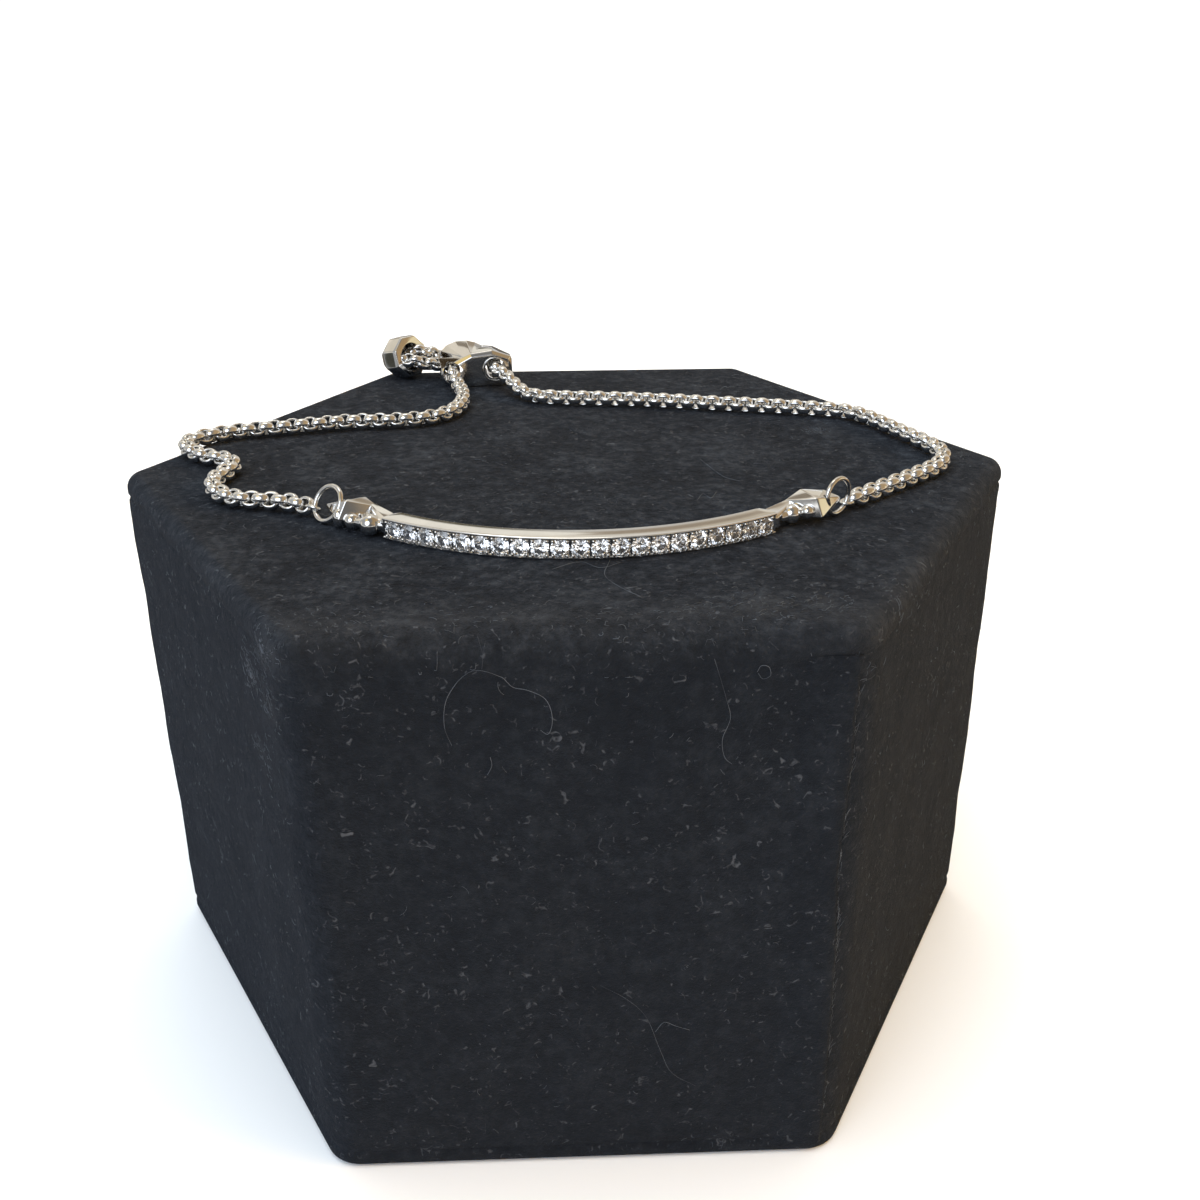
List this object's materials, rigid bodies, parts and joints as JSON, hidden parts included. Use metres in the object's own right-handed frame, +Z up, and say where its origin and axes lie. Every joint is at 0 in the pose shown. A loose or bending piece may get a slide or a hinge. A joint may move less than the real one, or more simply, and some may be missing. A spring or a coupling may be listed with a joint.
{
  "type": "charm bracelet on display stand",
  "caption": "Slider bracelet with a stone-set curved bar between faceted connectors and fine chains, lying on a hexagonal velvet-covered display block that shows it off.",
  "frame": {"origin": "Middle of the block's underside, on the surface that it stands on.", "axes": "+X runs through two upright edges of the block, from the left of the bracelet's bar to its right. +Y points from the bar to the slider. +Z is up."},
  "size_m": [0.0952, 0.0832, 0.0632],
  "materials": {
    "black_velvet": "short-pile cotton velvet, blue-black, rubbed paler along the rim",
    "polished_silver": "mirror-polished silver-tone plating",
    "clear_stone": "faceted clear crystal"
  },
  "bodies": {
    "root": {"display_stand": "black_velvet", "bar": "polished_silver", "stone_01": "clear_stone", "stone_02": "clear_stone", "stone_03": "clear_stone", "stone_04": "clear_stone", "stone_05": "clear_stone", "stone_06": "clear_stone", "stone_07": "clear_stone", "stone_08": "clear_stone", "stone_09": "clear_stone", "stone_10": "clear_stone", "stone_11": "clear_stone", "stone_12": "clear_stone", "stone_13": "clear_stone", "stone_14": "clear_stone", "stone_15": "clear_stone", "stone_16": "clear_stone", "stone_17": "clear_stone", "stone_18": "clear_stone", "stone_19": "clear_stone", "stone_20": "clear_stone", "stone_21": "clear_stone", "jump_ring_right": "polished_silver", "jump_ring_left": "polished_silver", "chain_right": "polished_silver", "chain_left": "polished_silver", "slider": "polished_silver", "end_cap": "polished_silver"}
  },
  "joints": []
}
